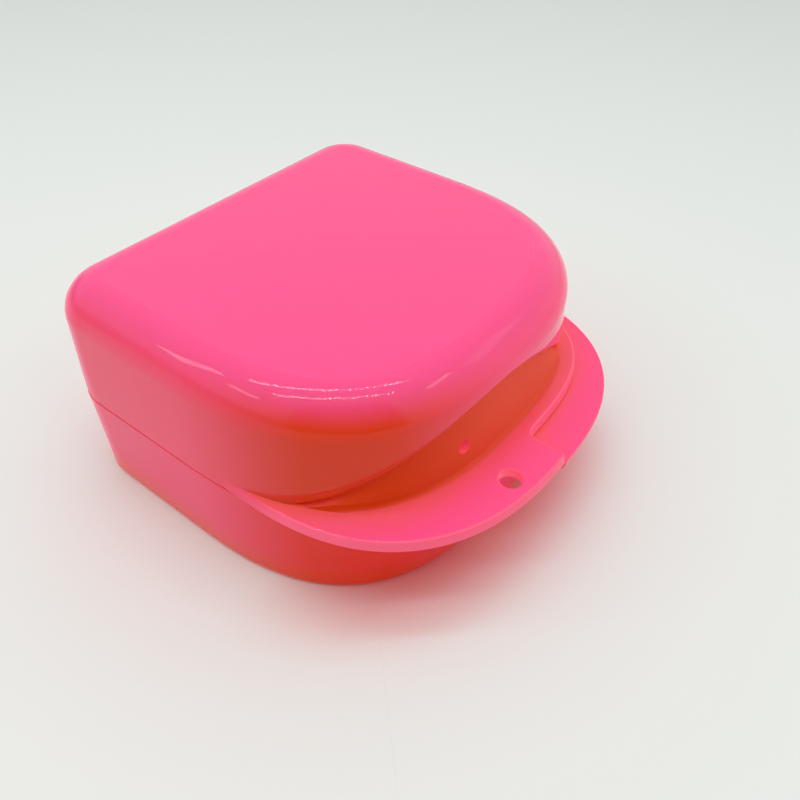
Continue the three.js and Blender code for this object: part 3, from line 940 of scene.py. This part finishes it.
def plastic(name, look):
    material = bpy.data.materials.new(name)
    material.use_nodes = True
    tree = material.node_tree
    nodes, links = tree.nodes, tree.links
    shader = nodes["Principled BSDF"]
    shader.inputs["IOR"].default_value = look["ior"]
    shader.inputs["Subsurface Weight"].default_value = look["subsurface"]
    shader.inputs["Subsurface Radius"].default_value = look["scatterColours"]
    shader.inputs["Subsurface Scale"].default_value = look["scatterLength"]
    coordinates = nodes.new("ShaderNodeTexCoord")
    colour = nodes.new("ShaderNodeGroup")
    colour.node_tree = colourGroup
    facing = math.radians(look["shadeAzimuth"])
    values = {
        "Front Way": (math.cos(facing), math.sin(facing), 0),
        "Top": look["litFlatColour"],
        "Side": look["shadedSideColour"],
        "Front": look["shadedFrontColour"],
        "Hollow Shade Tint": look["hollowShadeTint"],
        "Hollow Reach": look["hollowReach"],
        "Lit Edge Colour": look["litEdgeColour"],
        "Scoop Front": look["scoopShadeColour"],
        "Scoop Side": look["scoopSideShadeColour"],
        "Scoop Foot": look["scoopFootShadeColour"],
    }
    for socket, value in values.items():
        colour.inputs[socket].default_value = value
    masks = {}
    for mask in ("scoop", "edge"):
        node = nodes.new("ShaderNodeAttribute")
        node.attribute_name = mask
        masks[mask] = node.outputs["Fac"]
        links.new(masks[mask], colour.inputs[mask.title()])
    links.new(coordinates.outputs["Normal"], colour.inputs["Normal"])
    links.new(colour.outputs["Colour"], shader.inputs["Base Color"])
    surface = nodes.new("ShaderNodeGroup")
    surface.node_tree = surfaceGroup
    surface.inputs["Ripple Scale"].default_value = 1 / look["rippleSize"]
    surface.inputs["Mark Scale"].default_value = 1 / look["markSize"]
    links.new(coordinates.outputs["Object"], surface.inputs["Place"])
    bump = nodes.new("ShaderNodeBump")
    bump.inputs["Distance"].default_value = look["rippleHeight"]
    links.new(surface.outputs["Height"], bump.inputs["Height"])
    links.new(bump.outputs["Normal"], shader.inputs["Normal"])
    worn = maths(tree, "MULTIPLY", surface.outputs["Marks"], look["markRoughness"])
    dull = maths(tree, "ADD", worn, look["polish"])
    for mask, roughness in (
        (colour.outputs["Hollowness"], look["hollowRoughness"]),
        (masks["scoop"], look["scoopRoughness"]),
        (colour.outputs["Flatness"], look["flatRoughness"]),
    ):
        dull = maths(tree, "MAXIMUM", dull, maths(tree, "MULTIPLY", mask, roughness))
    links.new(dull, shader.inputs["Roughness"])
    # painted glow: an emission on the walls and the tray's front, none in the scoop, and more where the
    # plastic ends in an edge; it stands in for light through the translucent plastic
    dark = (0, 0, 0, 1)
    glow = blend(tree, colour.outputs["Front Wall"], dark, look["frontPaintedGlow"])
    glow = blend(tree, colour.outputs["Side Wall"], glow, look["wallPaintedGlow"])
    glow = blend(tree, masks["scoop"], glow, dark)
    links.new(blend(tree, masks["edge"], glow, look["edgePaintedGlow"]), shader.inputs["Emission Color"])
    shader.inputs["Emission Strength"].default_value = look["paintedGlowStrength"]
    # red light shines through the thin walls on to what lies behind them
    path = nodes.new("ShaderNodeLightPath")
    through = nodes.new("ShaderNodeBsdfTransparent")
    through.inputs["Color"].default_value = look["shineThrough"]
    choice = nodes.new("ShaderNodeMixShader")
    links.new(path.outputs["Is Shadow Ray"], choice.inputs[0])
    links.new(shader.outputs[0], choice.inputs[1])
    links.new(through.outputs[0], choice.inputs[2])
    links.new(choice.outputs[0], nodes["Material Output"].inputs["Surface"])
    return material


# the tray stands nearer to the pale floor: its shaded wall colours are painted pinker for the floor's
# bounce light, and its front gets a painted glow
trayLook = dict(
    plasticLook,
    shadedSideColour=(1.0, 0.083, 0.235, 1),
    shadedFrontColour=(0.95, 0.044, 0.031, 1),
    wallPaintedGlow=(0.11, 0, 0.012, 1),
    frontPaintedGlow=(0.06, 0, 0, 1),
)

for piece, name, look in (
    (lidShell, "lid plastic", plasticLook),
    (trayShell, "tray plastic", trayLook),
    (hingeRod, "pin plastic", plasticLook),
):
    piece.data.materials.clear()
    piece.data.materials.append(plastic(name, look))
print("materials done")

# Floor, lights and camera

stageLook = {
    "floorSide": 60,
    "roughness": 0.9,
    "floorColour": (0.78, 0.8, 0.78, 1),
    "footShadowTint": (0.95, 0.39, 0.4, 1),
    "footSamples": 8,
    "footRange": (0.5, 1),
    "footReach": 0.016,
    "footAzimuth": -100,
    "footStart": 0.02,
    "footEnd": 0.037,
}


def makeFloor():
    half = stageLook["floorSide"] / 2
    corners = [(-half, -half, 0), (half, -half, 0), (half, half, 0), (-half, half, 0)]
    floor = meshObject("floor", corners, [(0, 1, 2, 3)])
    material = bpy.data.materials.new("pale floor")
    material.use_nodes = True
    tree = material.node_tree
    shader = tree.nodes["Principled BSDF"]
    # painted shadow and painted red light: the floor is tinted darker red close to the front of the
    # case's foot, by an ambient occlusion mask
    closeness = tree.nodes.new("ShaderNodeAmbientOcclusion")
    closeness.samples = stageLook["footSamples"]
    closeness.inputs["Distance"].default_value = stageLook["footReach"]
    near = maths(tree, "SUBTRACT", 1.0, ramp(tree, closeness.outputs["AO"], *stageLook["footRange"]))
    facing = math.radians(stageLook["footAzimuth"])
    place = tree.nodes.new("ShaderNodeTexCoord").outputs["Object"]
    ahead = vectorMaths(tree, "DOT_PRODUCT", place, (math.cos(facing), math.sin(facing), 0))
    ahead = ramp(tree, ahead, stageLook["footStart"], stageLook["footEnd"])
    paintedFootShadow = maths(tree, "MULTIPLY", near, ahead)
    tinted = blend(tree, paintedFootShadow, stageLook["floorColour"], stageLook["footShadowTint"], "MULTIPLY")
    tree.links.new(tinted, shader.inputs["Base Color"])
    shader.inputs["Roughness"].default_value = stageLook["roughness"]
    shader.inputs["Specular IOR Level"].default_value = 0
    floor.data.materials.append(material)


# A white room, darker where its front is open and along a low ledge on its left

roomLook = {
    "white": (0.97, 1, 0.98, 1),
    "strength": 0.86,
    "openingColour": (0.08, 0.075, 0.07, 1),
    "openingAzimuth": -138,
    "openingHalfAngle": 40,
    "openingTopAngle": 64,
    "edgeSoftness": 0.12,
    "ledgeAzimuth": 138,
    "ledgeHalfAngle": 62,
    "ledgeTopAngle": 21,
    "ledgeSoftness": 0.2,
    "ledgeDarkness": 0.85,
    "seenColour": (0.80, 0.81, 0.79, 1),
}


def makeWorld():
    world = bpy.data.worlds.new("white room")
    world.use_nodes = True
    tree = world.node_tree
    nodes, links = tree.nodes, tree.links
    background = nodes["Background"]
    background.inputs["Strength"].default_value = roomLook["strength"]
    direction = nodes.new("ShaderNodeTexCoord").outputs["Generated"]

    def towards(azimuth):
        facing = math.radians(azimuth)
        return vectorMaths(tree, "DOT_PRODUCT", direction, (math.cos(facing), math.sin(facing), 0))

    def within(first, second, softness=roomLook["edgeSoftness"]):
        return ramp(tree, maths(tree, "SUBTRACT", first, second), 0, softness, "SMOOTHSTEP")

    height = vectorMaths(tree, "DOT_PRODUCT", direction, (0, 0, 1))
    ahead = towards(roomLook["openingAzimuth"])
    aside = maths(tree, "ABSOLUTE", towards(roomLook["openingAzimuth"] + 90))
    sideReach = maths(tree, "DIVIDE", aside, math.tan(math.radians(roomLook["openingHalfAngle"])))
    topReach = maths(tree, "DIVIDE", height, math.tan(math.radians(roomLook["openingTopAngle"])))
    opening = maths(tree, "MULTIPLY", within(ahead, sideReach), within(ahead, topReach))
    # the foot of the case's left shoulder mirrors the ledge
    ledge = maths(
        tree, "MULTIPLY",
        within(towards(roomLook["ledgeAzimuth"]), math.cos(math.radians(roomLook["ledgeHalfAngle"]))),
        within(math.sin(math.radians(roomLook["ledgeTopAngle"])), height, roomLook["ledgeSoftness"]),
    )
    opening = maths(tree, "MAXIMUM", opening, maths(tree, "MULTIPLY", ledge, roomLook["ledgeDarkness"]))
    room = blend(tree, opening, roomLook["white"], roomLook["openingColour"])
    links.new(room, background.inputs["Color"])
    seen = nodes.new("ShaderNodeBackground")
    seen.inputs["Color"].default_value = roomLook["seenColour"]
    path = nodes.new("ShaderNodeLightPath")
    choice = nodes.new("ShaderNodeMixShader")
    links.new(path.outputs["Is Camera Ray"], choice.inputs[0])
    links.new(background.outputs[0], choice.inputs[1])
    links.new(seen.outputs[0], choice.inputs[2])
    links.new(choice.outputs[0], nodes["World Output"].inputs["Surface"])
    bpy.context.scene.world = world


# Two strips of small bright lamps under the ceiling
stripLook = {
    "height": 0.49,
    "centres": ((-0.02, 0.05), (-0.136, -0.057)),
    "azimuth": -46,
    "lampsEach": 28,
    "spacing": 0.0167,
    "lampWidth": 0.006,
    "lampLength": 0.03,
    "lampPower": 0.0155,
}

# Four softer lamps at the sides: azimuth and elevation from the case, width, height and power
sideLook = {
    "distance": 0.45,
    "aim": (0, 0, 0.03),
    "lamps": (
        (133, 38, 0.035, 0.14, 0.07),
        (156, 39, 0.1, 0.035, 0.045),
        (-65, 46, 0.1, 0.04, 0.045),
        (-42, 36, 0.12, 0.1, 0.034),
    ),
}


def makeStrips():
    turn = math.radians(stripLook["azimuth"])
    stepX, stepY = math.cos(turn), math.sin(turn)
    for number, (x, y) in enumerate(stripLook["centres"]):
        light = bpy.data.lights.new("strip lamp %d" % number, "AREA")
        light.shape = "RECTANGLE"
        light.size = stripLook["lampWidth"]
        light.size_y = stripLook["lampLength"]
        light.energy = stripLook["lampPower"]
        for i in range(stripLook["lampsEach"]):
            offset = (i - (stripLook["lampsEach"] - 1) / 2) * stripLook["spacing"]
            lamp = bpy.data.objects.new("strip %d lamp %d" % (number, i), light)
            lamp.location = (x + offset * stepX, y + offset * stepY, stripLook["height"])
            lamp.rotation_euler.z = turn
            bpy.context.scene.collection.objects.link(lamp)


def makeSideLamps():
    aim = Vector(sideLook["aim"])
    for number, (azimuth, elevation, width, height, power) in enumerate(sideLook["lamps"]):
        a, e = math.radians(azimuth), math.radians(elevation)
        way = Vector((math.cos(a) * math.cos(e), math.sin(a) * math.cos(e), math.sin(e)))
        light = bpy.data.lights.new("side lamp %d" % number, "AREA")
        light.shape = "RECTANGLE"
        light.size = width
        light.size_y = height
        light.energy = power
        lamp = bpy.data.objects.new("side lamp %d" % number, light)
        lamp.location = aim + way * sideLook["distance"]
        lamp.rotation_euler = way.to_track_quat("Z", "Y").to_euler()
        bpy.context.scene.collection.objects.link(lamp)


cameraView = {
    "azimuth": -53.093,
    "elevation": 43.296,
    "roll": 1.147,
    "centre": (-84.467, -75.705, 113.524),
    "focalPixels": 741.135,
    "imageSide": 800,
    "sensor": 36,
    "clipStart": 0.01,
}


def makeCamera():
    a, e, roll = (math.radians(cameraView[key]) for key in ("azimuth", "elevation", "roll"))
    back = Vector((math.sin(a) * math.cos(e), -math.cos(a) * math.cos(e), math.sin(e)))
    right = Vector((math.cos(a), math.sin(a), 0))
    up = back.cross(right)
    r = right * math.cos(roll) + up * math.sin(roll)
    u = up * math.cos(roll) - right * math.sin(roll)
    data = bpy.data.cameras.new("camera")
    data.sensor_width = cameraView["sensor"]
    data.lens = cameraView["focalPixels"] / cameraView["imageSide"] * cameraView["sensor"]
    data.clip_start = cameraView["clipStart"]
    camera = bpy.data.objects.new("camera", data)
    turn = Matrix((r, u, back)).transposed().to_4x4()
    camera.matrix_world = Matrix.Translation(Vector(cameraView["centre"]) * mm) @ turn
    bpy.context.scene.collection.objects.link(camera)
    bpy.context.scene.camera = camera


makeFloor()
makeWorld()
makeStrips()
makeSideLamps()
makeCamera()
bpy.context.scene.view_settings.view_transform = "Standard"
print("floor, lights and camera done")
